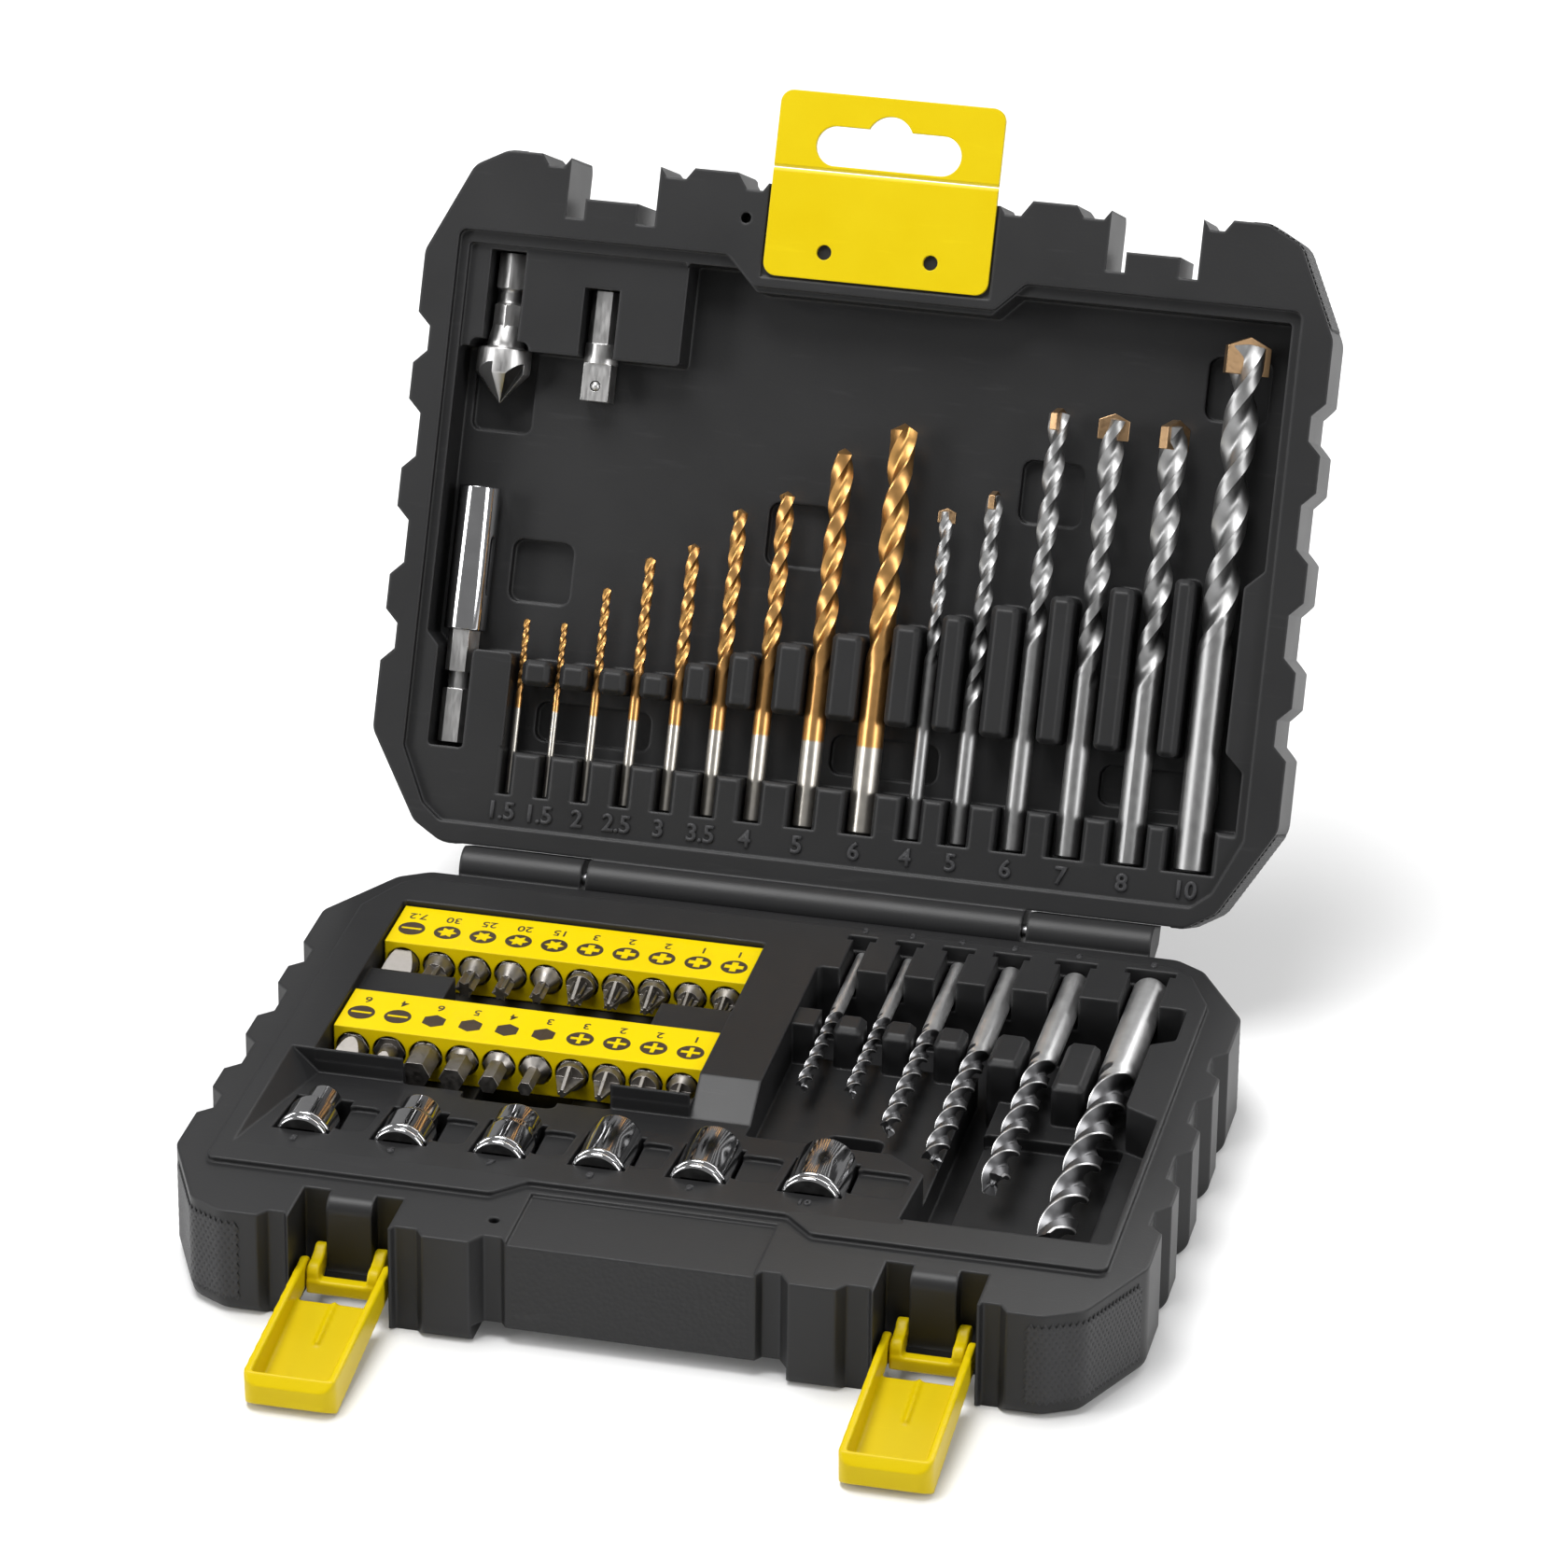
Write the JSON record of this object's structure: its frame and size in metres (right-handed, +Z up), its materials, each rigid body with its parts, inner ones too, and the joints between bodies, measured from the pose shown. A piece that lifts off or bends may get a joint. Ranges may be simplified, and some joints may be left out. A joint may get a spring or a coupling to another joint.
{
  "type": "drill bit case",
  "caption": "Moulded flip-open case with two hook latches and a hang tab, holding drills, sockets, screwdriver bits in racks, a countersink, an adaptor and a bit holder.",
  "frame": {"origin": "centre of the base's width and depth, on its resting face", "axes": "+X to the case's right as its user faces the latches, +Y to the hinge, +Z up"},
  "size_m": [0.2086, 0.2898, 0.188],
  "materials": {
    "charcoal_moulding": "soft-sheen moulded plastic",
    "hinge_rod": "plain rod",
    "yellow_moulding": "bright yellow moulded plastic",
    "grey_bit_steel": "satin grey",
    "bright_chrome": "bright plate",
    "wood_drill_steel": "bright shank, dark flutes",
    "gold_drill_steel": "gold-coloured coating, bare shank end",
    "masonry_drill_steel": "grey steel, brown carbide tip",
    "satin_steel": "satin"
  },
  "bodies": {
    "base": {"base_shell": "charcoal_moulding", "hinge_pin": "hinge_rod", "bit_rack_rear": "yellow_moulding", "bit_rack_front": "yellow_moulding", "slot_bit_7": "grey_bit_steel", "star_bit_30": "grey_bit_steel", "star_bit_25": "grey_bit_steel", "star_bit_20": "grey_bit_steel", "star_bit_15": "grey_bit_steel", "ribbed_cross_bit_3": "grey_bit_steel", "ribbed_cross_bits_2": "grey_bit_steel", "ribbed_cross_bits_1": "grey_bit_steel", "slot_bit_6": "grey_bit_steel", "slot_bit_4": "grey_bit_steel", "hex_bit_6": "grey_bit_steel", "hex_bit_5": "grey_bit_steel", "hex_bit_4": "grey_bit_steel", "hex_bit_3": "grey_bit_steel", "cross_bit_3": "grey_bit_steel", "cross_bits_2": "grey_bit_steel", "cross_bit_1": "grey_bit_steel", "socket_5": "bright_chrome", "socket_6": "bright_chrome", "socket_7": "bright_chrome", "socket_8": "bright_chrome", "socket_9": "bright_chrome", "socket_10": "bright_chrome", "wood_drill_3_left": "wood_drill_steel", "wood_drill_3_right": "wood_drill_steel", "wood_drill_4": "wood_drill_steel", "wood_drill_5": "wood_drill_steel", "wood_drill_6": "wood_drill_steel", "wood_drill_8": "wood_drill_steel"},
    "lid": {"lid_shell": "charcoal_moulding", "hang_tab": "yellow_moulding", "twist_drill_1_5": "gold_drill_steel", "twist_drill_2": "gold_drill_steel", "twist_drill_2_5": "gold_drill_steel", "twist_drill_3": "gold_drill_steel", "twist_drill_3_5": "gold_drill_steel", "twist_drill_4": "gold_drill_steel", "twist_drill_5": "gold_drill_steel", "twist_drill_6": "gold_drill_steel", "masonry_drill_4": "masonry_drill_steel", "masonry_drill_5": "masonry_drill_steel", "masonry_drill_6": "masonry_drill_steel", "masonry_drill_7": "masonry_drill_steel", "masonry_drill_8": "masonry_drill_steel", "masonry_drill_10": "masonry_drill_steel", "countersink_bit": "satin_steel", "socket_adaptor": "satin_steel", "adaptor_ball": "satin_steel", "bit_holder_sleeve": "bright_chrome", "bit_holder_magnet": "satin_steel", "bit_holder_shank": "satin_steel"},
    "flap": {"hang_flap": "yellow_moulding"},
    "link_left": {"latch_link_left": "yellow_moulding"},
    "lever_left": {"latch_lever_left": "yellow_moulding"},
    "link_right": {"latch_link_right": "yellow_moulding"},
    "lever_right": {"latch_lever_right": "yellow_moulding"}
  },
  "joints": [
    {"name": "lid_hinge", "type": "hinge", "parent": "base", "child": "lid", "pos_m": [0, 0.08355, 0.02465], "axis": [1, 0, 0], "range_deg": [0, 116.25]},
    {"name": "tab_crease", "type": "hinge", "parent": "lid", "child": "flap", "pos_m": [0, 0.15649, 0.17198], "axis": [1, 0, 0], "range_deg": [-90, 90]},
    {"name": "latch_link_left", "type": "hinge", "parent": "base", "child": "link_left", "pos_m": [-0.0622, -0.06765, 0.0105], "axis": [1, 0, 0], "range_deg": [0, 61]},
    {"name": "latch_lever_left", "type": "hinge", "parent": "link_left", "child": "lever_left", "pos_m": [-0.0622, -0.07262, 0.00898], "axis": [1, 0, 0], "range_deg": [-155.59, 0]},
    {"name": "latch_link_right", "type": "hinge", "parent": "base", "child": "link_right", "pos_m": [0.0622, -0.06765, 0.0105], "axis": [1, 0, 0], "range_deg": [0, 61]},
    {"name": "latch_lever_right", "type": "hinge", "parent": "link_right", "child": "lever_right", "pos_m": [0.0622, -0.07262, 0.00898], "axis": [1, 0, 0], "range_deg": [-155.59, 0]}
  ],
  "couplings": [
    {"joint": "latch_lever_left", "follows": "latch_link_left", "ratio": -2.5506},
    {"joint": "latch_lever_right", "follows": "latch_link_right", "ratio": -2.5506}
  ]
}
